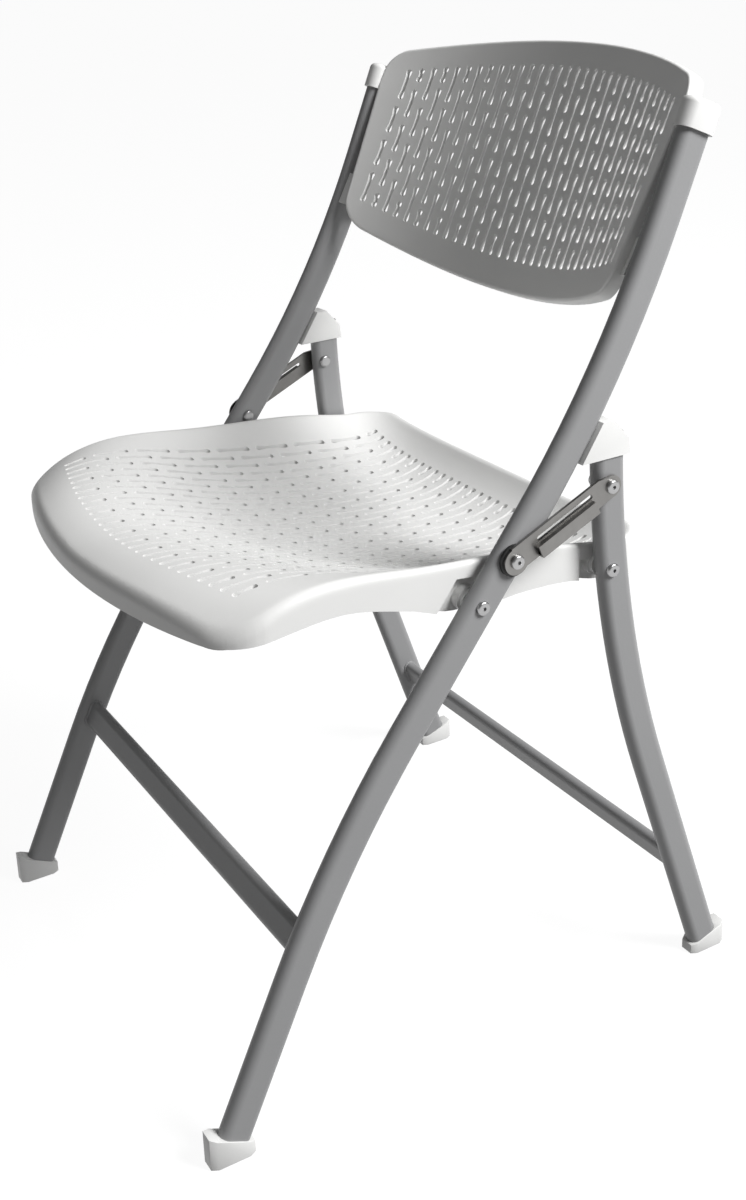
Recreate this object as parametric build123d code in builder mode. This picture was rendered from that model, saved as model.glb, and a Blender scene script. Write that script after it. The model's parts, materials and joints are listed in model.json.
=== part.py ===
from build123d import *
import math
import os

os.makedirs("parts", exist_ok=True)

# Folding chair.  Millimetres, X across (the sitter's left is +X), Y to the back, Z up.
# The origin is on the floor, in the middle of the footprint.

# --- Tubes: flat-oval steel, both legs of one side lie in one plane ---
half_track = 225.0      # middle of the chair to the centreline of each side's tubes
tube_depth = 30.0       # long side of the oval, in the side view
tube_width = 15.0       # short side of the oval, across the chair
tube_wall = 1.5
bend_radius = 1000.0    # the tubes are bent in easy curves

# Side view (y, z) of the front tube, which runs from the front foot up to the backrest
front_foot_y = -259.2
front_knee = (-143.0, 245.5)
front_shoulder = (125.5, 591.4)
front_top = (211.6, 797.5)

# Side view of the rear leg: straight up from the rear foot, then curving to upright
rear_foot_y = 226 + tube_depth  # keeps the leg's top clear of the front tube
rear_lean = -19.0           # degrees from upright, below the bend
rear_bend_z = 226.0         # height where the bend starts
rear_top_z = 546.0

tube_start_z = 9.0      # the tubes end this far above the floor, inside the feet

# --- Pivots of the fold, each at a height, ahead of the middle of its tube ---
seat_front_pivot_z = 428.0
seat_front_pivot_lead = 3.5
seat_rear_pivot_z = 427.0
seat_rear_pivot_lead = 5.0
link_front_pivot_z = 462.0
link_front_pivot_lead = 0.0
link_rear_pivot_z = 504.0
link_rear_pivot_lead = 5.0

# --- Bolts ---
bolt_r = 3.0
bolt_fit = 0.05         # radial running clearance of a bolt in its bore
head_r = 6.0
head_t = 3.0
head_gap = 0.2          # play under a head that has to turn
socket_r = 1.8          # hexagon socket, across corners
socket_depth = 1.8
nut_r = 6.0
nut_t = 3.0

# --- Stretchers: flat-oval tubes set along the lean of the tubes they join ---
front_stretcher_z = 173.0
rear_stretcher_z = 104.0
stretcher_depth = 27.0
stretcher_width = 12.0

# --- Seat ---
seat_side_gap = 4.0         # between the seat and the inner faces of the tubes
seat_half_width = half_track - tube_width / 2 - seat_side_gap
seat_ridge_x = seat_half_width - 10
seat_front_y = -262.0
seat_rear_y = 186.0
seat_front_bow = 540.0      # plan radius of the front edge
seat_front_corner_r = 48.0
seat_rear_corner_r = 34.0
seat_skin = 3.6             # wall of the moulding
seat_rim = 10.0             # solid border under the rounded edge
skirt_trim = 14.0           # only this outer border follows the skirt's lower edge
seat_edge_r = 8.0           # rounding of the top edge
seat_band = 11.0            # height of the plain band above the recesses
recess_depth = 8.0          # the skirt steps in beside each tube
recess_margin = 9.0
boss_r = 11.0
bush_flange_r = 9.0
bush_r = 5.0
side_gap = 0.1              # play between a turning face and its neighbour

# --- Backrest ---
back_y = 220.4              # a point in the middle of the backrest
back_z = 727.3
back_lean = 23.4            # degrees from upright
back_dish = 10.7            # the middle stands this far behind that point
back_top = 117.5            # from the point up to the top edge, along the backrest
back_bottom = 121.0
back_top_bow = 620.0        # radius of the top edge, seen from the front
back_bottom_bow = 900.0
back_half_width_top = half_track - 9
back_half_width_bottom = half_track - 20
back_shoulder = 44.0        # the sides narrow below this height
back_corner_r_top = 30.0
back_corner_r_bottom = 34.0
back_radius_top = 471.0     # plan radius of the front surface at the top edge
back_radius_bottom = 362.0
back_skin = 4.0
back_rim_depth = 14.0
socket_wall = 3.0
socket_dome = 3.5
tube_in_socket = 21.0
lug_s = -66.0               # height of the side lugs on the backrest
lug_height = 32.0
lug_t = 4.0
lug_front = 8.0             # the lugs start this far behind the front surface
screw_r = 2.5
screw_forward = 33.5        # in front of the plane the backrest is drawn in

# --- Links ---
link_t = 2.5
link_front_r = 11.5
link_rear_r = 9.5
link_upper = 12.5           # edges above and below the line between its pivots
link_lower = 9.5
spacer_t = 2.5
spacer_r = 13.5
window_start = 24.0         # the long slot, measured from the front pivot
window_end = 84.0
window_height = 4.0
rib_start = 20.0            # the pressed rib along the lower edge
rib_end = 82.0
rib_height = 11.5
rib_depth = 5.5
rib_wall = 1.8
shoulder_r = 5.0
leg_gap = 0.3               # the open pivot: the link's bolt stops short of the leg

# --- Feet and caps ---
shoe_wall = 1.4
foot_half_width = tube_width / 2 + shoe_wall
foot_front_y = (front_foot_y - tube_depth / 2 - 0.8, front_foot_y + tube_depth / 2 + 10.2)
foot_rear_y = (rear_foot_y - tube_depth / 2 - 6.5, rear_foot_y + tube_depth / 2 + 3)
foot_collar = (19.0, 15.0)          # height of the collars at the middle of the tubes
foot_nose = 6.0
cap_half_width = tube_width / 2 + shoe_wall
cap_low_z = 527.0
cap_top_z = 558.5
cap_wall = 1.8
pad_gap = 0.2               # the cap stops this far behind the front tube
fit_gap = 0.1


# --- Tube centrelines ---
def on_run(a, b, height):
    """Point of the straight run a-b at a height."""
    share = (height - a[1]) / (b[1] - a[1])
    return (a[0] + share * (b[0] - a[0]), height)


def side_view(x):
    """Side-view plane at x: local x is Y, local y is Z, normal +X."""
    return Plane(origin=(x, 0, 0), x_dir=(0, 1, 0), z_dir=(1, 0, 0))


def front_path(x):
    """Centreline of the front tube in the plane at x."""
    with BuildLine(side_view(x)) as path:
        FilletPolyline(on_run((front_foot_y, 0), front_knee, tube_start_z), front_knee,
                       front_shoulder, front_top, radius=bend_radius)
    return path.line


def rear_path(x):
    """Centreline of the rear leg in the plane at x."""
    lean = math.radians(rear_lean)
    bend_y = rear_foot_y + rear_bend_z * math.tan(lean)
    top_lean = math.asin(math.sin(lean) + (rear_top_z - rear_bend_z) / bend_radius)
    with BuildLine(side_view(x)) as path:
        Line(on_run((rear_foot_y, 0), (bend_y, rear_bend_z), tube_start_z),
             (bend_y, rear_bend_z))
        JernArc((bend_y, rear_bend_z), (math.sin(lean), math.cos(lean)), bend_radius,
                math.degrees(lean - top_lean))
    return path.line


front_line = front_path(0)
rear_line = rear_path(0)


def line_at(line, height):
    """Side-view y of a centreline at a height, and its lean from upright in degrees."""
    low = 0.0
    high = 1.0
    for _ in range(40):
        middle = (low + high) / 2
        if (line @ middle).Z < height:
            low = middle
        else:
            high = middle
    slope = line % low
    return (line @ low).Y, math.degrees(math.atan2(slope.Y, slope.Z))


def pivot(line, height, lead):
    return (line_at(line, height)[0] - lead, height)


seat_front_pivot = pivot(front_line, seat_front_pivot_z, seat_front_pivot_lead)
link_front_pivot = pivot(front_line, link_front_pivot_z, link_front_pivot_lead)
seat_rear_pivot = pivot(rear_line, seat_rear_pivot_z, seat_rear_pivot_lead)
link_rear_pivot = pivot(rear_line, link_rear_pivot_z, link_rear_pivot_lead)

tube_outer = half_track + tube_width / 2
tube_inner = half_track - tube_width / 2
link_inner = tube_outer + spacer_t
link_outer = link_inner + link_t
boss_inner = seat_half_width - recess_depth - seat_skin

# The backrest is drawn in its own leaning plane: local x across, y up, z to the front.
lean_up = math.radians(back_lean)
back_plane = Plane(origin=(0, back_y, back_z), x_dir=(1, 0, 0),
                   z_dir=(0, -math.cos(lean_up), math.sin(lean_up)))


# Everything is drawn from midway between the feet, and written with the origin under
# the middle of the whole chair, because the backrest reaches further back than the feet.
back_rear_y = (back_y + back_top * math.sin(lean_up)
               + (back_dish + back_rim_depth) * math.cos(lean_up))
middle_y = (foot_front_y[0] + max(back_rear_y, foot_rear_y[1])) / 2


def write(part, name):
    """Write one solid as a node."""
    placed = Pos(0, -middle_y, 0) * part
    placed.label = name
    export_step(placed, f"parts/{name}.step")


def write_sides(part, name):
    """Write the left part, and its mirror image as the right one."""
    write(part, f"left_{name}")
    write(mirror(part, about=Plane.YZ), f"right_{name}")


def write_group(part, name):
    """Write a part and its mirror image as one node of separate solids."""
    pair = [part, mirror(part, about=Plane.YZ)]
    group = Compound(children=[Pos(0, -middle_y, 0) * one for one in pair])
    group.label = name
    export_step(group, f"parts/{name}.step")


def rod(centre, radius, start_x, end_x):
    """Round bar across the chair at a side-view point."""
    with BuildPart() as bar:
        with BuildSketch(side_view(start_x)):
            with Locations(centre):
                Circle(radius)
        extrude(amount=end_x - start_x)
    return bar.part


# --- Front tubes and rear legs ---
def oval_bar(path, wall):
    """Flat-oval bar swept along a centreline: a tube, or solid if wall is 0."""
    start = Plane(origin=path @ 0, x_dir=(1, 0, 0), z_dir=path % 0)
    with BuildPart() as bar:
        with BuildSketch(start):
            SlotOverall(tube_depth, tube_width, rotation=90)
            if wall > 0:
                offset(amount=-wall, mode=Mode.SUBTRACT)
        sweep(path=path)
    return bar.part


def drilled(path, pivots):
    """Tube with a bolt hole through both walls at each pivot."""
    tube = oval_bar(path, tube_wall)
    for centre in pivots:
        tube -= rod(centre, bolt_r + bolt_fit, tube_inner - 1, tube_outer + 1)
    return tube


screw_point = back_plane.from_local_coords((0, lug_s, screw_forward))
screw_centre = (screw_point.Y, screw_point.Z)
front_tube = drilled(front_path(half_track), [seat_front_pivot, link_front_pivot])
front_tube -= rod(screw_centre, screw_r + bolt_fit, tube_inner - 1, half_track)
write_sides(front_tube, "front_tube")
write_sides(drilled(rear_path(half_track), [seat_rear_pivot, link_rear_pivot]), "rear_leg")


# --- Stretchers, welded between the tubes ---
def stretcher(line, height):
    y, lean = line_at(line, height)
    with BuildPart() as bar:
        with BuildSketch(side_view(-tube_inner)):
            with Locations((y, height)):
                SlotOverall(stretcher_depth, stretcher_width, rotation=90 - lean)
                offset(amount=-tube_wall, mode=Mode.SUBTRACT)
        extrude(amount=2 * tube_inner)
    return bar.part


write(stretcher(front_line, front_stretcher_z), "front_stretcher")
write(stretcher(rear_line, rear_stretcher_z), "rear_stretcher")


# --- Seat: a dished moulding with a skirt ---
def seat_height(x, y):
    """Height of the seat's upper surface: a dish with raised sides, front and rear lip."""
    reach = abs(x) / seat_ridge_x
    along = y / 200
    front_start = -128 + 0.0017 * x * x
    roll = max(0.0, (front_start - y) / 70)
    lip = max(0.0, (y - 99.5) / 70)
    bowl = 407.8 + 0.00071 * (93.5 - y) ** 2 - 6.1 * roll ** 3 + 14.1 * lip ** 3
    rise = 43.9 + 7.6 * along - 23.8 * along ** 2 - 29 * along ** 3
    return bowl + rise * reach ** max(1.8, 2.86 + 1.82 * along)


def seat_surface(drop):
    """The seat's upper surface as one smooth face, lowered by drop."""
    steps_x = 24
    steps_y = 28
    reach_x = seat_half_width + 6
    reach_front = seat_front_y - 6
    reach_rear = seat_rear_y + 6
    rows = []
    for i in range(steps_x + 1):
        x = -reach_x + 2 * reach_x * i / steps_x
        row = []
        for k in range(steps_y + 1):
            y = reach_front + (reach_rear - reach_front) * k / steps_y
            row.append(Vector(x, y, seat_height(x, y) - drop))
        rows.append(row)
    return Face.make_surface_from_array_of_points(rows, tol=0.05, min_deg=3, max_deg=5)


def seat_plan(inset):
    """Plan outline of the seat, shrunk by inset."""
    half = seat_half_width - inset
    front = seat_front_y + inset
    bow = seat_front_bow - inset
    corner_y = front + bow - math.sqrt(bow ** 2 - half ** 2)
    with BuildSketch() as plan:
        with BuildLine():
            ThreePointArc((-half, corner_y), (0, front), (half, corner_y))
            Polyline((half, corner_y), (half, seat_rear_y - inset),
                     (-half, seat_rear_y - inset), (-half, corner_y))
        make_face()
        fillet(plan.vertices().group_by(Axis.Y)[-1], radius=seat_rear_corner_r - inset)
        fillet(plan.vertices().group_by(Axis.Y)[0], radius=seat_front_corner_r - inset)
    return plan.sketch


seat_low = seat_front_pivot_z - 40
seat_tall = 120
seat_underside = [(seat_front_y - 8, 437), (-200, 440), (-122, 446), (-62, 433), (-16, 418),
                  (50, 420), (98, 417), (132, 408), (seat_rear_y + 8, 406)]


def seat_body(inset, drop):
    """Solid under the seat's surface, with the plan outline shrunk by inset."""
    with BuildPart() as block:
        with BuildSketch(Plane.XY.offset(seat_low)):
            add(seat_plan(inset))
        extrude(amount=seat_tall)
        extrude(seat_surface(drop), amount=2 * seat_tall, dir=(0, 0, 1), mode=Mode.SUBTRACT)
    return block.part


def recess_outline(grow):
    """Side-view outline of the two recesses, one along each tube."""
    y_front, lean_front = line_at(front_line, seat_front_pivot_z)
    y_rear = line_at(rear_line, seat_rear_pivot_z)[0]
    wide = tube_depth + 2 * (recess_margin + grow)
    long = 200
    ridge = [(y, seat_height(seat_ridge_x, y) - seat_band + grow) for y in (-60, 0, 60, 160)]
    with BuildSketch(side_view(boss_inner)) as outline:
        with Locations((y_front, seat_front_pivot_z)):
            Rectangle(wide, long, rotation=-lean_front)
        with Locations((y_rear, seat_rear_pivot_z)):
            Rectangle(wide, long)
        with BuildLine():
            Polyline(*ridge, (160, seat_low), (-60, seat_low), close=True)
        make_face(mode=Mode.INTERSECT)
    return outline.sketch


outer_body = seat_body(0, 0)
top_face = outer_body.faces().filter_by(GeomType.BSPLINE).sort_by(SortBy.AREA)[-1]
outer_body = outer_body.fillet(seat_edge_r, top_face.outer_wire().edges())
seat = outer_body - seat_body(seat_skin, seat_band) - seat_body(seat_rim, seat_skin)

recess_wall = extrude(recess_outline(seat_skin), amount=recess_depth + seat_skin / 2)
recess_cut = extrude(recess_outline(0), amount=2 * recess_depth + seat_skin)
recess_cut = Pos(seat_skin, 0, 0) * recess_cut
with BuildPart() as underside:
    with BuildSketch(side_view(-seat_half_width - 1)):
        with BuildLine():
            Spline(*seat_underside)
            Polyline(seat_underside[-1], (seat_rear_y + 8, seat_low - 5),
                     (seat_front_y - 8, seat_low - 5), seat_underside[0])
        make_face()
    extrude(amount=2 * seat_half_width + 2)
    with BuildSketch(Plane.XY.offset(seat_low - 10)):
        add(seat_plan(skirt_trim))
    extrude(amount=2 * seat_tall, mode=Mode.SUBTRACT)

for image in (False, True):
    pieces = [recess_wall, recess_cut]
    if image:
        pieces = [mirror(piece, about=Plane.YZ) for piece in pieces]
    seat = seat + pieces[0] - pieces[1]
seat -= underside.part
for centre in (seat_front_pivot, seat_rear_pivot):
    boss = rod(centre, boss_r, boss_inner, seat_half_width)
    bore = rod(centre, bush_r, boss_inner - 1, seat_half_width + 1)
    seat = seat + boss + mirror(boss, about=Plane.YZ)
    seat = seat - bore - mirror(bore, about=Plane.YZ)
write(seat, "seat")

with BuildPart() as bushes:
    for centre in (seat_front_pivot, seat_rear_pivot):
        add(rod(centre, bush_r, boss_inner, seat_half_width))
        add(rod(centre, bush_flange_r, seat_half_width, tube_inner - side_gap))
        add(rod(centre, bolt_r + bolt_fit, boss_inner - 1, tube_inner + 1),
            mode=Mode.SUBTRACT)
write_group(bushes.part, "seat_bushes")


# --- Backrest: a dished panel with a rim, two sockets and two lugs ---
def back_layer(front, rear):
    """Everything between two depths behind the backrest's front surface."""
    reach = half_track + 10
    sections = []
    for height, radius in ((-back_bottom - 10, back_radius_bottom),
                           (back_top + 10, back_radius_top)):
        plane = Plane(origin=back_plane.from_local_coords((0, height, -back_dish)),
                      x_dir=(1, 0, 0), z_dir=back_plane.y_dir)
        corners = []
        for deep in (front, rear):
            outer = radius + deep
            edge = outer - math.sqrt(outer ** 2 - reach ** 2)
            corners.append((reach, deep - edge, deep))
        with BuildSketch(plane) as section:
            with BuildLine():
                (x, near, near_mid), (_, far, far_mid) = corners
                ThreePointArc((-x, near), (0, near_mid), (x, near))
                Line((x, near), (x, far))
                ThreePointArc((x, far), (0, far_mid), (-x, far))
                Line((-x, far), (-x, near))
            make_face()
        sections.append(section.sketch)
    return loft(sections, ruled=True)


def back_outline(inset):
    """Front-view outline of the backrest, shrunk by inset."""
    top = back_half_width_top - inset
    bottom = back_half_width_bottom - inset
    top_drop = back_top_bow - math.sqrt(back_top_bow ** 2 - top ** 2)
    bottom_rise = back_bottom_bow - math.sqrt(back_bottom_bow ** 2 - bottom ** 2)
    top_corner = (top, back_top - inset - top_drop)
    low_corner = (bottom, -back_bottom + inset + bottom_rise)
    shoulder = min(back_shoulder, top_corner[1] - back_corner_r_top)
    with BuildSketch(back_plane) as outline:
        with BuildLine():
            ThreePointArc((-top_corner[0], top_corner[1]), (0, back_top - inset), top_corner)
            Polyline(top_corner, (top, shoulder), low_corner)
            ThreePointArc(low_corner, (0, -back_bottom + inset), (-low_corner[0], low_corner[1]))
            Polyline((-low_corner[0], low_corner[1]), (-top, shoulder),
                     (-top_corner[0], top_corner[1]))
        make_face()
        upper = outline.vertices().group_by(Axis.Z)[-1]
        lower = outline.vertices().group_by(Axis.Z)[0]
        fillet(upper, radius=back_corner_r_top - inset)
        fillet(lower, radius=back_corner_r_bottom - inset)
    return outline.sketch


def slab(sketch):
    """Outline drawn through, from in front of the backrest to behind it."""
    return extrude(sketch, amount=100, both=True)


backrest = slab(back_outline(0)) & back_layer(0, back_rim_depth)
backrest -= slab(back_outline(back_skin)) & back_layer(back_skin, 2 * back_rim_depth)

# Closed sockets over the tops of the tubes
tube_top = front_path(half_track) @ 1
socket_axis = front_path(half_track) % 1
socket_start = tube_top - socket_axis * tube_in_socket
socket_plane = Plane(origin=socket_start, x_dir=(1, 0, 0), z_dir=socket_axis)
with BuildPart() as socket:
    with BuildSketch(socket_plane):
        SlotOverall(tube_depth + 2 * socket_wall, tube_width + 2 * socket_wall, rotation=90)
    extrude(amount=tube_in_socket + socket_dome)
    crown = socket.faces().sort_by(Axis.Z)[-1]
    fillet(crown.edges(), radius=socket_dome + socket_wall / 2)
with BuildPart() as tube_seat:
    with BuildSketch(socket_plane):
        SlotOverall(tube_depth, tube_width, rotation=90)
    extrude(amount=tube_in_socket)

# Lugs behind the panel, screwed to the inner faces of the tubes
lug_outer = tube_inner - fit_gap
with BuildPart() as lug:
    with BuildSketch(back_plane):
        with Locations((lug_outer - 8, lug_s)):
            Rectangle(16, lug_height)
    extrude(amount=100, both=True)
with BuildPart() as lug_pocket:
    with BuildSketch(back_plane):
        with Locations((lug_outer - lug_t - 20, lug_s)):
            Rectangle(40, lug_height - 2 * back_skin)
    extrude(amount=100, both=True)
lug_web = lug.part & back_layer(lug_front, 2 * back_rim_depth)
lug_web -= lug_pocket.part & back_layer(lug_front + back_skin, 3 * back_rim_depth)

for image in (False, True):
    pieces = [socket.part, tube_seat.part, lug_web]
    if image:
        pieces = [mirror(piece, about=Plane.YZ) for piece in pieces]
    backrest = backrest + pieces[0] - pieces[1] + pieces[2]
screw_hole = rod(screw_centre, screw_r + bolt_fit, lug_outer - 2 * lug_t, tube_inner)
backrest = backrest - screw_hole - mirror(screw_hole, about=Plane.YZ)
write(backrest, "backrest")


# --- Bolts, nuts and screws ---
def domed(centre, radius, face_x, height):
    """Round domed head or nut standing on the face at face_x."""
    step = 1 if height > 0 else -1
    with BuildPart() as dome:
        add(rod(centre, radius, face_x, face_x + height))
        edge = dome.faces().sort_by(Axis.X)[-1 if step > 0 else 0].edges()
        fillet(edge, radius=abs(height) * 0.6)
    return dome.part


def bolt(centre, head_x, end_x):
    """Hexagon-socket bolt with its head standing out from head_x."""
    part = domed(centre, head_r, head_x, head_t) + rod(centre, bolt_r, end_x, head_x)
    with BuildPart() as key:
        with BuildSketch(side_view(head_x + head_t)):
            with Locations(centre):
                RegularPolygon(socket_r, 6)
        extrude(amount=-socket_depth)
    return part - key.part


def nut(centre, face_x, end_x):
    """Domed nut standing inwards from face_x, threaded as deep as the bolt goes."""
    return domed(centre, nut_r, face_x, -nut_t) - rod(centre, bolt_r, end_x, face_x)


seat_nut_face = boss_inner - head_gap
seat_bolt_end = seat_nut_face - nut_t + 1
link_bolt_end = tube_inner - nut_t + 1
for centre, name in ((seat_front_pivot, "front"), (seat_rear_pivot, "rear")):
    write_group(bolt(centre, tube_outer, seat_bolt_end), f"seat_{name}_bolts")
    write_group(nut(centre, seat_nut_face, seat_bolt_end), f"seat_{name}_nuts")
write_group(bolt(link_front_pivot, link_outer + head_gap, link_bolt_end), "link_front_bolts")
write_group(nut(link_front_pivot, tube_inner, link_bolt_end), "link_front_nuts")

shoulder_end = tube_outer + leg_gap
rear_bolt = bolt(link_rear_pivot, link_outer, link_inner)
rear_bolt += rod(link_rear_pivot, shoulder_r, shoulder_end, link_inner)
write_sides(rear_bolt, "link_rear_bolt")
rear_nut = domed(link_rear_pivot, nut_r, tube_inner, -nut_t)
rear_nut += rod(link_rear_pivot, bolt_r, tube_inner, tube_outer)
write_group(rear_nut, "link_rear_nuts")

spacer = rod(link_front_pivot, spacer_r, tube_outer, link_inner - side_gap)
write_group(spacer - rod(link_front_pivot, bolt_r, tube_outer, link_inner), "link_spacers")

screw_head_x = lug_outer - lug_t
screw = domed(screw_centre, head_r - 1, screw_head_x, -head_t)
screw += rod(screw_centre, screw_r, screw_head_x, half_track)
write_group(screw, "backrest_screws")


# --- Links: pressed plates, each with a long slot and a rib along its lower edge ---
link_run = Vector(0, link_rear_pivot[0] - link_front_pivot[0],
                  link_rear_pivot[1] - link_front_pivot[1])
link_length = link_run.length
link_plane = Plane(origin=(link_inner, *link_front_pivot), x_dir=link_run, z_dir=(1, 0, 0))
rib_middle = ((rib_start + rib_end) / 2, rib_height / 2 - link_lower)
rib_long = rib_end - rib_start
with BuildPart() as link:
    with BuildSketch(link_plane):
        with BuildLine():
            Polyline((0, -link_lower), (link_length, -link_rear_r),
                     (link_length, link_rear_r), (link_length - link_rear_r, link_upper),
                     (0, link_upper), close=True)
        make_face()
        Circle(link_front_r)
        with Locations((link_length, 0)):
            Circle(link_rear_r)
        with Locations(((window_start + window_end) / 2, rib_height - link_lower + 3)):
            SlotOverall(window_end - window_start, window_height, mode=Mode.SUBTRACT)
    extrude(amount=link_t)
    with BuildSketch(link_plane):
        with Locations(rib_middle):
            Rectangle(rib_long, rib_height)
    extrude(amount=link_t + rib_depth)
    with BuildSketch(link_plane.offset(link_t)):
        with Locations((rib_middle[0] - rib_wall, rib_middle[1])):
            Rectangle(rib_long, rib_height - 2 * rib_wall)
    extrude(amount=rib_depth - rib_wall, mode=Mode.SUBTRACT)
    with BuildSketch(link_plane):
        with Locations((0, 0), (link_length, 0)):
            Circle(bolt_r + bolt_fit)
    extrude(amount=link_t, mode=Mode.SUBTRACT)
write_sides(link.part, "link")


# --- Feet: faceted shoes with flat soles ---
def foot(line, ends, collar_height):
    """Shoe on the end of a tube, between two y ends, open at its slanted collar."""
    low, high = ends
    wide = foot_half_width
    nose = foot_nose
    y, lean = line_at(line, collar_height)
    tilt = math.radians(lean)
    collar = Plane(origin=(half_track, y, collar_height), x_dir=(1, 0, 0),
                   z_dir=(0, math.sin(tilt), math.cos(tilt)))
    with BuildPart() as shoe:
        with BuildSketch(Plane.XY.move(Location((half_track, 0, 0)))):
            with BuildLine():
                Polyline((wide, low + nose), (wide, high - nose), (wide - nose / 2, high),
                         (nose / 2 - wide, high), (-wide, high - nose), (-wide, low + nose),
                         (nose / 2 - wide, low), (wide - nose / 2, low), close=True)
            make_face()
        extrude(amount=2 * collar_height)
        split(bisect_by=collar, keep=Keep.BOTTOM)
    return shoe.part


front_foot = foot(front_line, foot_front_y, foot_collar[0])
front_foot -= oval_bar(front_path(half_track), 0)
write_sides(front_foot, "front_foot")
rear_foot = foot(rear_line, foot_rear_y, foot_collar[1])
rear_foot -= oval_bar(rear_path(half_track), 0)
write_sides(rear_foot, "rear_foot")


# --- Caps on the rear legs, which rest against the front tubes ---
def behind_tube(height, gap):
    """Side-view point behind the front tube at a height."""
    y, lean = line_at(front_line, height)
    return (y + (tube_depth / 2 + gap) / math.cos(math.radians(lean)), height)


leg_y = line_at(rear_line, cap_low_z)[0]
cap_rear_y = leg_y + tube_depth / 2 + cap_wall
with BuildPart() as cap:
    with BuildSketch(side_view(half_track - cap_half_width)):
        with BuildLine():
            Polyline(behind_tube(cap_low_z, pad_gap), behind_tube(cap_top_z, pad_gap),
                     (leg_y, cap_top_z), (cap_rear_y - 1.5, cap_low_z + 14),
                     (cap_rear_y, cap_low_z), close=True)
        make_face()
    extrude(amount=2 * cap_half_width)
cap_part = cap.part - oval_bar(rear_path(half_track), 0)
write_sides(cap_part, "leg_cap")
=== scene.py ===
import json
import math

import bmesh
import bpy
import numpy as np
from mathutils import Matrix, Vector


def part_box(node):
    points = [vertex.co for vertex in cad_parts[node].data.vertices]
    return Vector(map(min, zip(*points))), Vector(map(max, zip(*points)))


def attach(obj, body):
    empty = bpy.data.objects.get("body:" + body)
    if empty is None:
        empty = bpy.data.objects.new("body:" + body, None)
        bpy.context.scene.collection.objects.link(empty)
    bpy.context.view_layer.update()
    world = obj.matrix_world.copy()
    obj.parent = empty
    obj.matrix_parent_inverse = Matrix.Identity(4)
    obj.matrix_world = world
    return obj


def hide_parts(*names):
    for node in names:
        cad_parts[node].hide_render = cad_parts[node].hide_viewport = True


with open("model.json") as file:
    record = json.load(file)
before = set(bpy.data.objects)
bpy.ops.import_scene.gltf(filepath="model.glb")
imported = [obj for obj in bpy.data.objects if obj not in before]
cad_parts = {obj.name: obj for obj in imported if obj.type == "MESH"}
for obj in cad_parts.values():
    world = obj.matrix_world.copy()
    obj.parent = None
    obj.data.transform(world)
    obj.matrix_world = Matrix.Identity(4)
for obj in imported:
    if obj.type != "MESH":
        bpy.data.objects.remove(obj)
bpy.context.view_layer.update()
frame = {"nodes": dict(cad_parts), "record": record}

MM = 0.001

# Side-view numbers below are measured from midway between the feet. The front feet
# start this far ahead of that point, which gives its place in the frame.
FRONT_FEET_AHEAD = 275.0
MIDDLE_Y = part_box("left_front_foot")[0].y + FRONT_FEET_AHEAD * MM


# ---------------------------------------------------------------- node helpers
def link(tree, out, into):
    tree.links.new(out, into)


def math_node(tree, operation, first, second=None):
    """A Math node; numbers are typed in, sockets are wired."""
    node = tree.nodes.new("ShaderNodeMath")
    node.operation = operation
    for socket, value in zip(node.inputs, (first, second)):
        if value is None:
            continue
        if isinstance(value, (int, float)):
            socket.default_value = value
        else:
            link(tree, value, socket)
    return node.outputs[0]


# ---------------------------------------------------------------- materials
def noise(tree, coords, scale, detail=3.0, roughness=0.55):
    """Noise between 0 and 1 on the given coordinates."""
    node = tree.nodes.new("ShaderNodeTexNoise")
    node.inputs["Scale"].default_value = scale
    node.inputs["Detail"].default_value = detail
    node.inputs["Roughness"].default_value = roughness
    link(tree, coords, node.inputs["Vector"])
    return node.outputs["Fac"]


def ramp(tree, fac, low, high):
    """Maps a 0 to 1 value on a range, such as one of roughnesses."""
    node = tree.nodes.new("ShaderNodeMapRange")
    node.inputs["To Min"].default_value = low
    node.inputs["To Max"].default_value = high
    link(tree, fac, node.inputs["Value"])
    return node.outputs["Result"]


def tinted(tree, fac, dark, light):
    """Colour between two tones of one finish."""
    node = tree.nodes.new("ShaderNodeMix")
    node.data_type = "RGBA"
    node.inputs[6].default_value = (*dark, 1)
    node.inputs[7].default_value = (*light, 1)
    link(tree, fac, node.inputs[0])
    return node.outputs[2]


def bump(tree, height, distance, strength):
    """Normal of a surface raised by the height."""
    node = tree.nodes.new("ShaderNodeBump")
    node.inputs["Distance"].default_value = distance
    node.inputs["Strength"].default_value = strength
    link(tree, height, node.inputs["Height"])
    return node.outputs["Normal"]


def new_material(name):
    """Material with a Principled shader and Object coordinates."""
    material = bpy.data.materials.new(name)
    material.use_nodes = True
    tree = material.node_tree
    shader = tree.nodes["Principled BSDF"]
    coords = tree.nodes.new("ShaderNodeTexCoord").outputs["Object"]
    return material, tree, shader, coords


def moulded_plastic(name, dark, light, rough, grain):
    """Moulded plastic: faint cloudiness, a fine spark-eroded grain and uneven gloss."""
    material, tree, shader, coords = new_material(name)
    cloud = noise(tree, coords, 14, 4)
    fine = noise(tree, coords, grain, 2)
    link(tree, tinted(tree, cloud, dark, light), shader.inputs["Base Color"])
    link(tree, ramp(tree, cloud, rough - 0.05, rough + 0.06), shader.inputs["Roughness"])
    link(tree, bump(tree, fine, 0.0004, 0.12), shader.inputs["Normal"])
    shader.inputs["IOR"].default_value = 1.49
    return material


def powder_coat(name, dark, light):
    """Satin powder coat: an orange-peel skin over the tube, a little duller in patches."""
    material, tree, shader, coords = new_material(name)
    patches = noise(tree, coords, 9, 4)
    peel = noise(tree, coords, 420, 2, 0.4)
    link(tree, tinted(tree, patches, dark, light), shader.inputs["Base Color"])
    link(tree, ramp(tree, patches, 0.36, 0.48), shader.inputs["Roughness"])
    link(tree, bump(tree, peel, 0.0006, 0.10), shader.inputs["Normal"])
    shader.inputs["IOR"].default_value = 1.5
    return material


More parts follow.
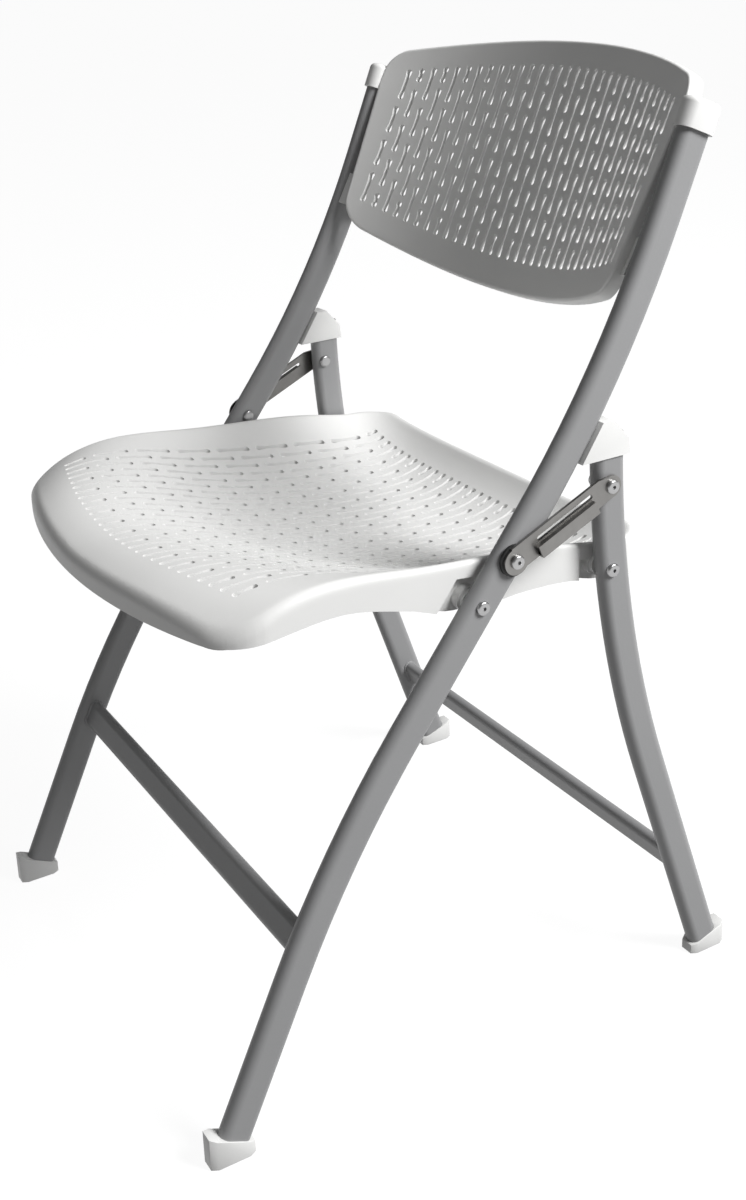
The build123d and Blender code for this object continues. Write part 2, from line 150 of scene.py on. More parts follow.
def plated_steel(name, dark, light, rough, stretch):
    """Plated steel: streaks along the rolling direction under a bright plating."""
    material, tree, shader, coords = new_material(name)
    mapping = tree.nodes.new("ShaderNodeMapping")
    mapping.inputs["Scale"].default_value = stretch
    link(tree, coords, mapping.inputs["Vector"])
    streaks = noise(tree, mapping.outputs[0], 60, 4)
    stains = noise(tree, coords, 45, 3)
    shader.inputs["Metallic"].default_value = 1.0
    link(tree, tinted(tree, stains, dark, light), shader.inputs["Base Color"])
    link(tree, ramp(tree, streaks, rough - 0.08, rough + 0.1), shader.inputs["Roughness"])
    link(tree, bump(tree, streaks, 0.0003, 0.15), shader.inputs["Normal"])
    return material


WHITE = moulded_plastic("white_moulding", (0.78, 0.78, 0.77), (0.84, 0.84, 0.83), 0.44, 900)
BLACK = moulded_plastic("black_moulding", (0.012, 0.012, 0.012), (0.02, 0.02, 0.02), 0.5, 700)
GREY = powder_coat("grey_powder_coat", (0.275, 0.276, 0.28), (0.305, 0.306, 0.31))
NICKEL = plated_steel("nickel_plate", (0.20, 0.195, 0.19), (0.30, 0.295, 0.285), 0.36, (1, 4, 4))
ZINC = plated_steel("zinc_plate", (0.36, 0.36, 0.365), (0.48, 0.48, 0.48), 0.3, (8, 2, 2))

SLOT_MATERIAL = {"seat_plastic": WHITE, "white_plastic": WHITE, "grey_paint": GREY,
                 "nickel_steel": NICKEL, "zinc_steel": ZINC, "black_plastic": BLACK}
node_slot = {part["node"]: part["material_slot"] for part in frame["record"]["subparts"]}
for name, obj in frame["nodes"].items():
    obj.data.materials.clear()
    obj.data.materials.append(SLOT_MATERIAL[node_slot[name]])


# ---------------------------------------------------------------- mesh helpers
def make_object(name, bm, material):
    """Object at the origin from a bmesh, in the given finish."""
    mesh = bpy.data.meshes.new(name)
    bm.to_mesh(mesh)
    bm.free()
    obj = bpy.data.objects.new(name, mesh)
    bpy.context.scene.collection.objects.link(obj)
    obj.data.materials.append(material)
    return obj


def bake(obj):
    """Applies the object's modifiers to its mesh."""
    graph = bpy.context.evaluated_depsgraph_get()
    made = bpy.data.meshes.new_from_object(obj.evaluated_get(graph))
    old = obj.data
    obj.modifiers.clear()
    obj.data = made
    bpy.data.meshes.remove(old)


def combine(obj, other, operation):
    """Boolean of two closed meshes; the second one is used up."""
    modifier = obj.modifiers.new("combine", "BOOLEAN")
    modifier.operation = operation
    modifier.solver = "MANIFOLD"
    modifier.object = other
    bake(obj)
    bpy.data.objects.remove(other)


def smooth_by_angle(obj, degrees):
    """Smooth shading with sharp edges where faces meet at more than an angle."""
    bm = bmesh.new()
    bm.from_mesh(obj.data)
    bmesh.ops.remove_doubles(bm, verts=bm.verts, dist=1e-6)
    bmesh.ops.dissolve_degenerate(bm, edges=bm.edges, dist=1e-6)
    limit = math.radians(degrees)
    for face in bm.faces:
        face.smooth = True
    for edge in bm.edges:
        edge.smooth = len(edge.link_faces) == 2 and edge.calc_face_angle() < limit
    bm.to_mesh(obj.data)
    bm.free()


def reshape(obj, place):
    """Moves every point of the mesh by a rule on its three coordinates."""
    points = np.empty(len(obj.data.vertices) * 3)
    obj.data.vertices.foreach_get("co", points)
    points = np.array([place(*p) for p in points.reshape(-1, 3)])
    obj.data.vertices.foreach_set("co", points.ravel())
    obj.data.update()


def arc(centre, radius, start, end, count):
    """Points and outward normals of an arc, without its last point; angles in degrees."""
    found = []
    for i in range(count):
        a = math.radians(start + (end - start) * i / count)
        out = Vector((math.cos(a), math.sin(a)))
        found.append((Vector(centre) + out * radius, out))
    return found


def straight(start, end, count):
    """Points and outward normals of a straight run, without its last point."""
    start = Vector(start)
    run = Vector(end) - start
    out = Vector((run.y, -run.x)).normalized()
    return [(start + run * (i / count), out) for i in range(count)]


def both_sides(half):
    """Whole outline from its right half, which starts and ends on the middle line."""
    return half + [(Vector((-p.x, p.y)), Vector((-n.x, n.y))) for p, n in half[-2:0:-1]]


def ring_faces(bm, low, high):
    """Quads between two rings of points."""
    for i in range(len(low)):
        j = (i + 1) % len(low)
        bm.faces.new((low[i], low[j], high[j], high[i]))


def tray(outline, profile):
    """Closed tray: the outline drawn in by each (inset, height) of the profile in turn.
    The first ring closes the top and the last one the underside."""
    bm = bmesh.new()
    rings = [[bm.verts.new((*(p - n * inset), height)) for p, n in outline]
             for inset, height in profile]
    for upper, lower in zip(rings, rings[1:]):
        ring_faces(bm, lower, upper)
    bm.faces.new(rings[0])
    bm.faces.new(reversed(rings[-1]))
    bmesh.ops.recalc_face_normals(bm, faces=bm.faces)
    return bm


def grid_cuts(bm, low, high, step):
    """Cuts the mesh by upright planes, so it can bend smoothly."""
    for axis in (0, 1):
        count = int((high[axis] - low[axis]) / step)
        for i in range(1, count):
            at = [0, 0, 0]
            at[axis] = low[axis] + (high[axis] - low[axis]) * i / count
            normal = [0, 0, 0]
            normal[axis] = 1
            bmesh.ops.bisect_plane(bm, geom=bm.verts[:] + bm.edges[:] + bm.faces[:],
                                   dist=1e-7, plane_co=at, plane_no=normal)


def prism(outline, along, start, end, name):
    """Solid between two planes; outline points are the other two coordinates in order."""
    bm = bmesh.new()
    rings = []
    for level in (start, end):
        ring = []
        for a, b in outline:
            point = [a, b]
            point.insert(along, level)
            ring.append(bm.verts.new(point))
        rings.append(ring)
    ring_faces(bm, *rings)
    bm.faces.new(rings[0])
    bm.faces.new(reversed(rings[1]))
    bmesh.ops.recalc_face_normals(bm, faces=bm.faces)
    return make_object(name, bm, WHITE)


def circle(centre, radius, count=40):
    """Plain points of a circle."""
    return [(centre[0] + radius * math.cos(2 * math.pi * i / count),
             centre[1] + radius * math.sin(2 * math.pi * i / count)) for i in range(count)]


# ---------------------------------------------------------------- slots
def bone(half_end, half_waist, depth):
    """Slot shape with its two round ends together. The attribute "end" says which
    end a point belongs to, so the slot can be drawn out to any length."""
    bm = bmesh.new()
    side = bm.verts.layers.float.new("end")
    waist = bm.verts.layers.float.new("waist")
    turn = 7
    sweep = 220
    outline = []
    for end in (1, -1):
        start = -20 if end > 0 else 160
        for i in range(turn + 1):
            a = math.radians(start + sweep * i / turn)
            outline.append((half_end * math.cos(a), half_end * math.sin(a), end, 0))
        outline.append((-end * half_waist, 0, end, 1))
        outline.append((-end * half_waist, 0, -end, 1))
    rings = []
    for height in (-depth, depth):
        ring = []
        for x, y, end, mid in outline:
            vert = bm.verts.new((x, y, height))
            vert[side] = end
            vert[waist] = mid
            ring.append(vert)
        rings.append(ring)
    ring_faces(bm, *rings)
    bm.faces.new(reversed(rings[0]))
    bm.faces.new(rings[1])
    bmesh.ops.recalc_face_normals(bm, faces=bm.faces)
    return make_object("slot_shape", bm, WHITE)


def slot_tree():
    """Geometry Nodes: one slot shape on every point, drawn out to the point's length."""
    tree = bpy.data.node_groups.new("rows_of_slots", "GeometryNodeTree")
    face = tree.interface
    face.new_socket("Geometry", in_out="INPUT", socket_type="NodeSocketGeometry")
    face.new_socket("Slot shape", in_out="INPUT", socket_type="NodeSocketObject")
    face.new_socket("End radius", in_out="INPUT", socket_type="NodeSocketFloat")
    face.new_socket("Waist share", in_out="INPUT", socket_type="NodeSocketFloat")
    face.new_socket("Finish", in_out="INPUT", socket_type="NodeSocketMaterial")
    face.new_socket("Geometry", in_out="OUTPUT", socket_type="NodeSocketGeometry")
    new = tree.nodes.new
    given = new("NodeGroupInput").outputs
    result = new("NodeGroupOutput").inputs[0]

    def attribute(name):
        node = new("GeometryNodeInputNamedAttribute")
        node.data_type = "FLOAT"
        node.inputs["Name"].default_value = name
        return node.outputs[0]

    shape = new("GeometryNodeObjectInfo")
    link(tree, given["Slot shape"], shape.inputs["Object"])
    spread = new("GeometryNodeInstanceOnPoints")
    link(tree, given["Geometry"], spread.inputs["Points"])
    link(tree, shape.outputs["Geometry"], spread.inputs["Instance"])
    real = new("GeometryNodeRealizeInstances")
    link(tree, spread.outputs[0], real.inputs[0])
    # ends move out to the slot's length; waist points share the run between them
    reach = math_node(tree, "SUBTRACT", attribute("half_length"), given["End radius"])
    share = math_node(tree, "MULTIPLY", attribute("waist"), given["Waist share"])
    kept = math_node(tree, "SUBTRACT", 1.0, share)
    pull = math_node(tree, "MULTIPLY", math_node(tree, "MULTIPLY", reach, kept),
                     attribute("end"))
    vector = new("ShaderNodeCombineXYZ")
    link(tree, pull, vector.inputs["Y"])
    move = new("GeometryNodeSetPosition")
    link(tree, real.outputs[0], move.inputs["Geometry"])
    link(tree, vector.outputs[0], move.inputs["Offset"])
    finish = new("GeometryNodeSetMaterial")
    link(tree, move.outputs[0], finish.inputs["Geometry"])
    link(tree, given["Finish"], finish.inputs["Material"])
    link(tree, finish.outputs[0], result)
    return tree


SLOT_TREE = slot_tree()
WAIST_SHARE = 0.55
CUT_DEPTH = 8.0


def slot_cutters(name, slots, half_end, half_waist):
    """Cutters for slots given as (x, y, half length)."""
    shape = bone(half_end, half_waist, CUT_DEPTH)
    mesh = bpy.data.meshes.new(name)
    mesh.from_pydata([(x, y, 0) for x, y, _ in slots], [], [])
    lengths = mesh.attributes.new("half_length", "FLOAT", "POINT")
    lengths.data.foreach_set("value", [half for _, _, half in slots])
    obj = bpy.data.objects.new(name, mesh)
    bpy.context.scene.collection.objects.link(obj)
    modifier = obj.modifiers.new("slots", "NODES")
    modifier.node_group = SLOT_TREE
    values = {"Slot shape": shape, "End radius": half_end, "Waist share": WAIST_SHARE,
              "Finish": WHITE}
    for socket in SLOT_TREE.interface.items_tree:
        if socket.in_out == "INPUT" and socket.name in values:
            modifier[socket.identifier] = values[socket.name]
    bake(obj)
    bpy.data.objects.remove(shape)
    return obj


# ---------------------------------------------------------------- seat
SEAT_HALF = 213.5
SEAT_FRONT = -262.0
SEAT_REAR = 186.0
SEAT_BOW = 540.0
FRONT_CORNER = 48.0
REAR_CORNER = 34.0
SEAT_EDGE = 8.0
SEAT_SKIN = 3.6
SEAT_RIM = 10.0
SEAT_BAND = 11.0
SKIRT_FLAT = 30.0
RIDGE_X = 203.5
SEAT_ROWS = 29
SEAT_PITCH = 12.55
SEAT_ROW_SLOTS = 8
SEAT_ROW_SHIFT = 0.012
SEAT_BRIDGE = 7.5
SEAT_FIELD_FRONT = -224.0
SEAT_FIELD_REAR = 157.0
SEAT_FIELD_BOW = 0.0009
SEAT_SLOT = (2.9, 1.9)
SEAT_GRID = 6.5


def seat_height(x, y):
    """Height of the seat's upper surface, in millimetres."""
    reach = abs(x) / RIDGE_X
    along = y / 200
    roll = max(0.0, (-128 + 0.0017 * x * x - y) / 70)
    lip = max(0.0, (y - 99.5) / 70)
    bowl = 407.8 + 0.00071 * (93.5 - y) ** 2 - 6.1 * roll ** 3 + 14.1 * lip ** 3
    rise = 43.9 + 7.6 * along - 23.8 * along ** 2 - 29 * along ** 3
    return bowl + rise * reach ** max(1.8, 2.86 + 1.82 * along)


def seat_outline():
    """Plan outline of the seat, anticlockwise from the middle of its front edge."""
    bow_centre = SEAT_FRONT + SEAT_BOW
    corner_x = SEAT_HALF - FRONT_CORNER
    corner_y = bow_centre - math.sqrt((SEAT_BOW - FRONT_CORNER) ** 2 - corner_x ** 2)
    turn = math.degrees(math.atan2(corner_y - bow_centre, corner_x))
    rear_x = SEAT_HALF - REAR_CORNER
    rear_y = SEAT_REAR - REAR_CORNER
    half = arc((0, bow_centre), SEAT_BOW, -90, turn, 30)
    half += arc((corner_x, corner_y), FRONT_CORNER, turn, 0, 16)
    half += straight((SEAT_HALF, corner_y), (SEAT_HALF, rear_y), 48)
    half += arc((rear_x, rear_y), REAR_CORNER, 0, 90, 14)
    half += straight((rear_x, SEAT_REAR), (0, SEAT_REAR), 26)
    half.append((Vector((0, SEAT_REAR)), Vector((0, 1))))
    return both_sides(half)


def rounded_edge(radius, count):
    """Profile steps of a quarter-round top edge, from the top to the side."""
    steps = []
    for i in range(count + 1):
        a = math.pi / 2 * i / count
        steps.append((radius - radius * math.sin(a), radius * math.cos(a) - radius))
    return steps


SKIRT_LINE = [(-270, 437), (-200, 440), (-122, 446), (-62, 433), (-16, 418), (50, 420),
              (98, 417), (132, 408), (194, 406)]


def skirt_bottom(y):
    """Height of the skirt's lower edge at y, on a smooth line through its points."""
    last = len(SKIRT_LINE) - 2
    i = 0
    while i < last and y > SKIRT_LINE[i + 1][0]:
        i += 1
    (a, low), (b, high) = SKIRT_LINE[i], SKIRT_LINE[i + 1]

    def slope(k):
        before = SKIRT_LINE[max(k - 1, 0)]
        after = SKIRT_LINE[min(k + 1, last + 1)]
        return (after[1] - before[1]) / (after[0] - before[0])

    t = (y - a) / (b - a)
    drop = 3 * t * t - 2 * t ** 3
    lift = slope(i) * (t ** 3 - 2 * t * t + t) + slope(i + 1) * (t ** 3 - t * t)
    return low + (high - low) * drop + (b - a) * lift


def seat_place(x, y, z):
    """Bends the flat tray into the seat. Flat numbers are millimetres."""
    top = seat_height(x, y)
    if z >= -SEAT_BAND:
        height = top + z
    else:
        share = (-SEAT_BAND - z) / (SKIRT_FLAT - SEAT_BAND)
        height = (top - SEAT_BAND) * (1 - share) + skirt_bottom(y) * share
    return x * MM, y * MM + MIDDLE_Y, height * MM


def row_slots(start, end, cuts, bridge):
    """(middle, half length) of the slots between cuts at shares of a row."""
    stops = [start - bridge / 2] + [start + (end - start) * c for c in cuts]
    stops.append(end + bridge / 2)
    return [((a + b) / 2, (b - a - bridge) / 2) for a, b in zip(stops, stops[1:])]


def seat_slots():
    """Fore-and-aft rows, every second one shifted by half a slot."""
    slots = []
    for row in range(SEAT_ROWS):
        x = (row - SEAT_ROWS // 2) * SEAT_PITCH
        shifted = row % 2
        first = 1.0 if shifted else 0.5
        cuts = [(i + first) / SEAT_ROW_SLOTS + SEAT_ROW_SHIFT
                for i in range(SEAT_ROW_SLOTS - shifted)]
        front = SEAT_FIELD_FRONT + SEAT_FIELD_BOW * x * x
        for middle, half in row_slots(front, SEAT_FIELD_REAR, cuts, SEAT_BRIDGE):
            slots.append((x, middle, half))
    return slots


def build_seat():
    """The perforated dish with its skirt, still without recesses."""
    profile = [(SEAT_RIM, 0)] + rounded_edge(SEAT_EDGE, 7)
    profile += [(0, -SEAT_BAND), (0, -17), (0, -24), (0, -SKIRT_FLAT)]
    profile += [(SEAT_SKIN, -SKIRT_FLAT), (SEAT_SKIN, -20), (SEAT_SKIN, -SEAT_BAND)]
    profile += [(SEAT_RIM, -SEAT_BAND), (SEAT_RIM, -SEAT_SKIN)]
    bm = tray(seat_outline(), profile)
    grid_cuts(bm, (-SEAT_HALF, SEAT_FRONT), (SEAT_HALF, SEAT_REAR), SEAT_GRID)
    seat = make_object("seat_shell", bm, WHITE)
    combine(seat, slot_cutters("seat_slots", seat_slots(), *SEAT_SLOT), "DIFFERENCE")
    reshape(seat, seat_place)
    return seat


# Recesses beside the tubes, and the bosses that the pivots run in
RECESS_FLOOR = 205.5
RECESS_HALF = 24.0
RECESS_INNER = 201.9
FRONT_PIVOT = (-4.84, 428.0)
REAR_PIVOT = (126.49, 427.0)
TUBE_AT_PIVOT = -1.34
TUBE_SLOPE = 0.776
LEG_Y = 131.5
BOSS_R = 11.0
BORE_R = 5.0
BELOW_SEAT = 380.0
PAST_SIDE = 9.0
BORE_PAST = 2.0


def cross_prism(outline, start, end, name):
    """Solid across the chair from a side outline in millimetres."""
    placed = [(y * MM + MIDDLE_Y, z * MM) for y, z in outline]
    return prism(placed, 0, start * MM, end * MM, name)


def recess(centre, slope, grow, low):
    """Side outline of a recess; low gives the height of its lower end at y."""
    half = (RECESS_HALF + grow) * math.sqrt(1 + slope * slope)

    def ridge(y):
        return seat_height(RIDGE_X, y) - SEAT_BAND + grow

    def edge_y(side, height):
        return centre + side * half + slope * (height - FRONT_PIVOT[1])

    def meet(side, line):
        y = centre + side * half
        for _ in range(12):
            y = edge_y(side, line(y))
        return y

    top = [meet(-1, ridge), meet(1, ridge)]
    bottom = [meet(1, low), meet(-1, low)]
    points = []
    for (a, b), line in ((top, ridge), (bottom, low)):
        for i in range(9):
            y = a + (b - a) * i / 8
            points.append((y, line(y)))
    return points


def add_recesses(seat):
    """Steps the skirt in beside each tube, and adds the bored bosses."""
    lines = ((TUBE_AT_PIVOT, TUBE_SLOPE), (LEG_Y, 0.0))
    for side in (1, -1):
        for centre, slope in lines:
            wall = recess(centre, slope, SEAT_SKIN, skirt_bottom)
            combine(seat, cross_prism(wall, side * RECESS_INNER,
                                      side * (SEAT_HALF - SEAT_SKIN / 2), "wall"), "UNION")
        for centre, slope in lines:
            cut = recess(centre, slope, 0, lambda y: BELOW_SEAT)
            combine(seat, cross_prism(cut, side * RECESS_FLOOR,
                                      side * (SEAT_HALF + PAST_SIDE), "cut"), "DIFFERENCE")
        for pivot in (FRONT_PIVOT, REAR_PIVOT):
            boss = circle(pivot, BOSS_R)
            combine(seat, cross_prism(boss, side * RECESS_INNER, side * SEAT_HALF, "boss"),
                    "UNION")
            bore = circle(pivot, BORE_R)
            combine(seat, cross_prism(bore, side * (RECESS_INNER - BORE_PAST),
                                      side * (SEAT_HALF + BORE_PAST), "bore"), "DIFFERENCE")


SHARP_ANGLE = 32

seat = build_seat()
add_recesses(seat)
smooth_by_angle(seat, SHARP_ANGLE)
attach(seat, "seat")
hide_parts("seat")


# ---------------------------------------------------------------- backrest
BACK_POINT = (220.4, 727.3)
BACK_LEAN = math.radians(23.4)
BACK_DISH = 10.7
BACK_TOP = 117.5
BACK_LOW = 121.0
BACK_SKIN = 4.0
BACK_RIM = 14.0
BACK_EDGE = 3.0
BACK_HALF = 216.0
BACK_GRID = 7.0

# Bend of the panel seen from above: radii 10 mm past its lower and upper edges
BEND_PAST = 10.0
BEND_LOW = 362.0
BEND_HIGH = 471.0

# Outline: bows of the long edges, then the corners' centres, radii and turning angles
LOW_BOW = 900.0
TOP_BOW = 620.0
LOW_BOW_TURN = 11.09
TOP_BOW_TURN = 71.6
LOW_CORNER = (173.06, -69.55)
LOW_CORNER_R = 34.0
LOW_CORNER_START = 11.5
LOW_CORNER_END = -4.3
TOP_CORNER = (186.0, 57.4)
TOP_CORNER_R = 30.0
SIDE_LOW = (207.0, -72.1)
SIDE_HIGH = (215.9, 43.0)
SHOULDER = 44.0

# Slots
COLUMNS = 31
COLUMN_PITCH = 12.6
FULL_CUTS = (0.25, 0.5, 0.75)
SHIFTED_CUTS = (0.125, 0.375, 0.625, 0.875)
BRIDGE = 5.5
OUTER_BRIDGE = 7.5
OUTER_FROM = 12
FIELD_LOW = (-92.0, 0.00048)
FIELD_HIGH = (94.0, -0.0008)
BACK_SLOT = (2.95, 1.85)

# Lugs: across, up and forward ends of the block, and of the pocket in it
LUG = ((201.4, -82, -28), (217.4, -50, -8))
LUG_POCKET = ((180, -78, -40), (213.4, -54, -12))


def back_place(x, s, z):
    """Bends the flat panel: s runs up it and z forward, in millimetres."""
    deep = -z
    share = (s + BACK_LOW + BEND_PAST) / (BACK_LOW + BACK_TOP + 2 * BEND_PAST)
    radius = BEND_LOW + share * (BEND_HIGH - BEND_LOW) + deep
    back = BACK_DISH + deep - (radius - math.sqrt(radius * radius - x * x))
    y = BACK_POINT[0] + s * math.sin(BACK_LEAN) + back * math.cos(BACK_LEAN)
    height = BACK_POINT[1] + s * math.cos(BACK_LEAN) - back * math.sin(BACK_LEAN)
    return x * MM, y * MM + MIDDLE_Y, height * MM


def back_outline():
    """Front outline of the backrest, anticlockwise from the middle of its lower edge."""
    half = arc((0, LOW_BOW - BACK_LOW), LOW_BOW, -90, LOW_BOW_TURN - 90, 24)
    half += arc(LOW_CORNER, LOW_CORNER_R, LOW_CORNER_START - 90, LOW_CORNER_END, 12)
    half += straight(SIDE_LOW, SIDE_HIGH, 22)
    half += straight((BACK_HALF, SHOULDER), (BACK_HALF, TOP_CORNER[1]), 3)
    half += arc(TOP_CORNER, TOP_CORNER_R, 0, TOP_BOW_TURN, 14)
    half += arc((0, BACK_TOP - TOP_BOW), TOP_BOW, TOP_BOW_TURN, 90, 26)
    half[-1] = (Vector((0, BACK_TOP)), Vector((0, 1)))
    return both_sides(half)


def back_slots():
    """Upright columns, every second one shifted by half a slot."""
    slots = []
    for column in range(COLUMNS):
        from_middle = column - COLUMNS // 2
        x = from_middle * COLUMN_PITCH
        cuts = SHIFTED_CUTS if column % 2 else FULL_CUTS
        bridge = OUTER_BRIDGE if abs(from_middle) > OUTER_FROM else BRIDGE
        low = FIELD_LOW[0] + FIELD_LOW[1] * x * x
        high = FIELD_HIGH[0] + FIELD_HIGH[1] * x * x
        for middle, half in row_slots(low, high, cuts, bridge):
            slots.append((x, middle, half))
    return slots


def flat_box(corners, side, name):
    """Box between two corners in the flat panel's millimetres, on one side."""
    (x0, s0, z0), (x1, s1, z1) = corners
    outline = [(side * x0, s0), (side * x1, s0), (side * x1, s1), (side * x0, s1)]
    return prism(outline, 2, z0, z1, name)


def stadium(depth, width, count=10):
    """Outline of a flat oval: x across the narrow side, y along the wide one."""
    radius = width / 2
    reach = depth / 2 - radius
    outline = arc((0, -reach), radius, 180, 360, count)
    return outline + arc((0, reach), radius, 0, 180, count)


TUBE = (30.0, 15.0)
TUBE_TOP = (225.0, 211.6, 797.5)
TUBE_LEAN = math.radians(22.7)
SOCKET_LOW = -21.0
SOCKET_HIGH = 3.5
SOCKET_WALL = 3.0
SOCKET_DOME = 5.0
DOME_FLAT = 7.5
TUBE_PLAY = 0.08
TUBE_END_PLAY = 0.05
HOLE_PAST = 5.0


def on_tube(side):
    """Maps (across, forward-back, along) at the top of a tube to the chair."""
    def place(x, y, z):
        across = (TUBE_TOP[0] + x) * side
        back = TUBE_TOP[1] + y * math.cos(TUBE_LEAN) + z * math.sin(TUBE_LEAN)
        up = TUBE_TOP[2] - y * math.sin(TUBE_LEAN) + z * math.cos(TUBE_LEAN)
        return across * MM, back * MM + MIDDLE_Y, up * MM
    return place


def recalculated(obj):
    """The object with its faces turned outwards."""
    bm = bmesh.new()
    bm.from_mesh(obj.data)
    bmesh.ops.recalc_face_normals(bm, faces=bm.faces)
    bm.to_mesh(obj.data)
    bm.free()
    return obj


def tube_piece(side, profile, wall, name):
    """Solid with the tube's section grown by wall, along the tube's own axis."""
    bm = tray(stadium(TUBE[0] + 2 * wall, TUBE[1] + 2 * wall), profile)
    piece = make_object(name, bm, WHITE)
    reshape(piece, on_tube(side))
    return recalculated(piece)


def build_backrest():
    """The perforated panel with its rim, lugs and sockets."""
    profile = [(BACK_SKIN, 0)] + rounded_edge(BACK_EDGE, 5)
    profile += [(0, -7), (0, -BACK_RIM), (BACK_SKIN, -BACK_RIM), (BACK_SKIN, -BACK_SKIN)]
    bm = tray(back_outline(), profile)
    grid_cuts(bm, (-BACK_HALF, -BACK_LOW), (BACK_HALF, BACK_TOP), BACK_GRID)
    back = make_object("backrest_panel", bm, WHITE)
    combine(back, slot_cutters("back_slots", back_slots(), *BACK_SLOT), "DIFFERENCE")
    for side in (1, -1):
        lug = flat_box(LUG, side, "lug")
        combine(lug, flat_box(LUG_POCKET, side, "pocket"), "DIFFERENCE")
        combine(back, lug, "UNION")
    reshape(back, back_place)
    dome = [(inset, SOCKET_HIGH + drop) for inset, drop in rounded_edge(SOCKET_DOME, 6)]
    dome = [(DOME_FLAT, SOCKET_HIGH)] + dome + [(0, SOCKET_LOW)]
    hole = [(0, TUBE_END_PLAY), (0, SOCKET_LOW - HOLE_PAST)]
    for side in (1, -1):
        combine(back, tube_piece(side, dome, SOCKET_WALL, "socket"), "UNION")
        combine(back, tube_piece(side, hole, TUBE_PLAY, "hole"), "DIFFERENCE")
    return back


backrest = build_backrest()
smooth_by_angle(backrest, SHARP_ANGLE)
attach(backrest, "front_frame")
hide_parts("backrest")


# ---------------------------------------------------------------- small pieces
FOOT_EDGE = 0.9
CAP_EDGE = 1.0


def softened(node, body, width):
    """Copy of a CAD piece with its sharp edges rounded, in place of that piece."""
    bm = bmesh.new()
    bm.from_mesh(frame["nodes"][node].data)
    bmesh.ops.remove_doubles(bm, verts=bm.verts, dist=1e-6)
    bmesh.ops.dissolve_limit(bm, angle_limit=math.radians(2), verts=bm.verts,
                             edges=bm.edges)
    piece = make_object(node + "_softened", bm, SLOT_MATERIAL[node_slot[node]])
    bevel = piece.modifiers.new("edges", "BEVEL")
    bevel.width = width * MM
    bevel.segments = 3
    bevel.limit_method = "ANGLE"
    bevel.angle_limit = math.radians(28)
    bake(piece)
    smooth_by_angle(piece, 35)
    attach(piece, body)
    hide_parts(node)


for side in ("left", "right"):
    softened(side + "_front_foot", "front_frame", FOOT_EDGE)
    softened(side + "_rear_foot", "rear_frame", FOOT_EDGE)
    softened(side + "_leg_cap", "rear_frame", CAP_EDGE)

STRETCHER = (27.0, 12.0)
WELD_R = 1.7
WELD_RIPPLE = 0.12
RIPPLE_STEP = 2.1
WELD_HEIGHT = 0.9
WELD_SIDES = 8
TUBE_INNER = 217.5
FRONT_LEAN = 27.0
REAR_LEAN = -19.0


def weld_bead(stretcher, lean, side, body):
    """Bead of weld around the end of a stretcher, rippled along its run."""
    low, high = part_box(stretcher)
    middle = ((low.y + high.y) / 2, (low.z + high.z) / 2)
    turn = math.radians(lean)
    bm = bmesh.new()
    rings = []
    for i, (p, n) in enumerate(stadium(*STRETCHER, 24)):
        ring = []
        swell = WELD_R * (1 + WELD_RIPPLE * math.sin(i * RIPPLE_STEP))
        for k in range(WELD_SIDES):
            a = 2 * math.pi * k / WELD_SIDES
            flat = p + n * swell * math.cos(a)
            across = side * (TUBE_INNER + swell * math.sin(a) * WELD_HEIGHT) * MM
            back = flat.x * math.cos(turn) + flat.y * math.sin(turn)
            up = flat.y * math.cos(turn) - flat.x * math.sin(turn)
            ring.append(bm.verts.new((across, middle[0] + back * MM, middle[1] + up * MM)))
        rings.append(ring)
    for i, ring in enumerate(rings):
        ring_faces(bm, ring, rings[(i + 1) % len(rings)])
    bmesh.ops.recalc_face_normals(bm, faces=bm.faces)
    bead = make_object(f"{stretcher}_weld_{'left' if side > 0 else 'right'}", bm, GREY)
    smooth_by_angle(bead, 60)
    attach(bead, body)


for side in (1, -1):
    weld_bead("front_stretcher", FRONT_LEAN, side, "front_frame")
    weld_bead("rear_stretcher", REAR_LEAN, side, "rear_frame")


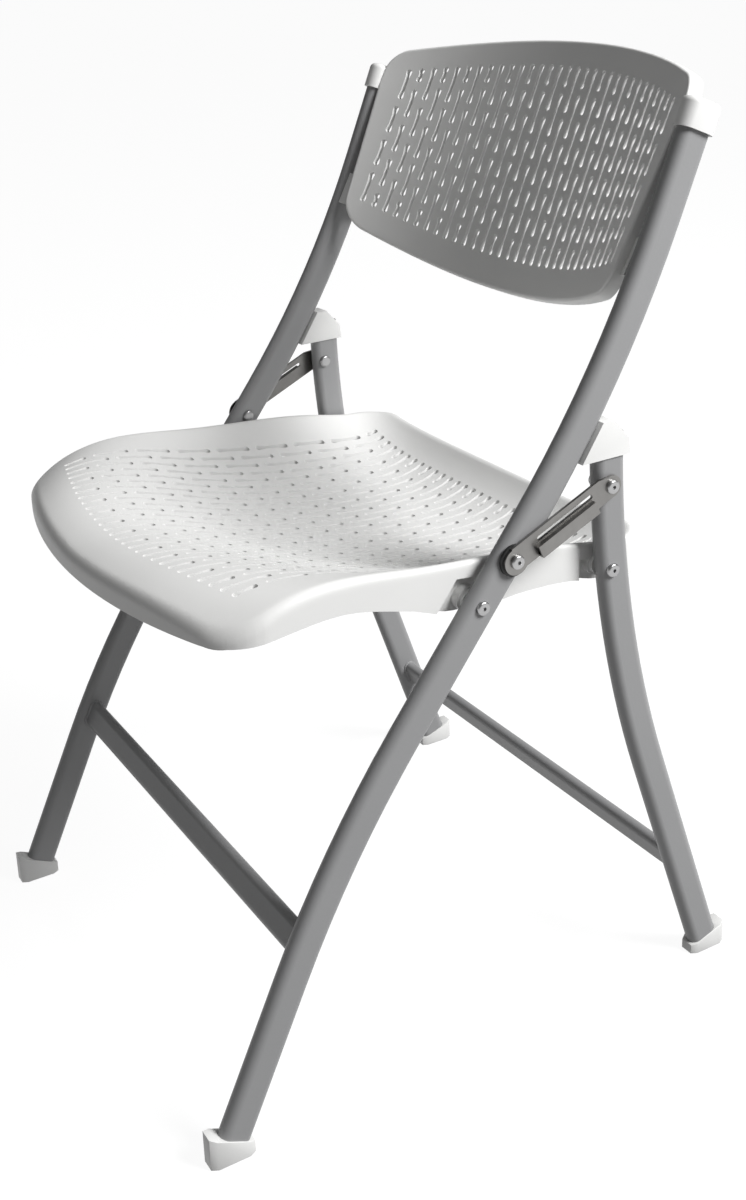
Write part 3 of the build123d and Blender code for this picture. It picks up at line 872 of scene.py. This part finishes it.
# ---------------------------------------------------------------- studio
FLOOR_GLOW = 0.93
FLOOR_HALF = 60
FLOOR_DROP = 0.0005
FILL = 0.17
KEY_AT = (2.15, 1.65, 2.7)
KEY_SIZE = 1.6
KEY_POWER = 172
AIM = (0, 0, 0.45)


def build_floor():
    """White floor that takes a faint shadow and throws no light back up."""
    bm = bmesh.new()
    bmesh.ops.create_grid(bm, x_segments=1, y_segments=1, size=FLOOR_HALF)
    material, tree, shader, coords = new_material("studio_floor")
    patches = noise(tree, coords, 2.0)
    link(tree, tinted(tree, patches, (0.12, 0.12, 0.12), (0.13, 0.13, 0.13)),
         shader.inputs["Base Color"])
    shader.inputs["Roughness"].default_value = 0.9
    shader.inputs["Emission Color"].default_value = (1, 1, 1, 1)
    shader.inputs["Emission Strength"].default_value = FLOOR_GLOW
    floor = make_object("studio_floor", bm, material)
    floor.location.z = -FLOOR_DROP
    floor.visible_diffuse = False


def area_light(name, at, aim, size, power):
    """Round soft light at one point, facing another."""
    data = bpy.data.lights.new(name, "AREA")
    data.shape = "DISK"
    data.size = size
    data.energy = power
    lamp = bpy.data.objects.new(name, data)
    lamp.location = at
    lamp.rotation_euler = (Vector(aim) - Vector(at)).to_track_quat("-Z", "Y").to_euler()
    bpy.context.scene.collection.objects.link(lamp)


build_floor()
area_light("key", KEY_AT, AIM, KEY_SIZE, KEY_POWER)

world = bpy.data.worlds.new("studio")
bpy.context.scene.world = world
world.use_nodes = True
background = world.node_tree.nodes["Background"]
background.inputs["Color"].default_value = (1, 1, 1, 1)
background.inputs["Strength"].default_value = FILL
bpy.context.scene.view_settings.view_transform = "Standard"

camera_data = bpy.data.cameras.new("camera")
camera_data.sensor_width = 36
camera_data.lens = 45.1
camera_data.shift_x = 0.115
camera_data.shift_y = -0.146
camera = bpy.data.objects.new("camera", camera_data)
camera.location = (1.1155, -0.6550, 0.9567)
camera.rotation_euler = [math.radians(a) for a in (71.320, 3.393, 62.624)]
bpy.context.scene.collection.objects.link(camera)
bpy.context.scene.camera = camera
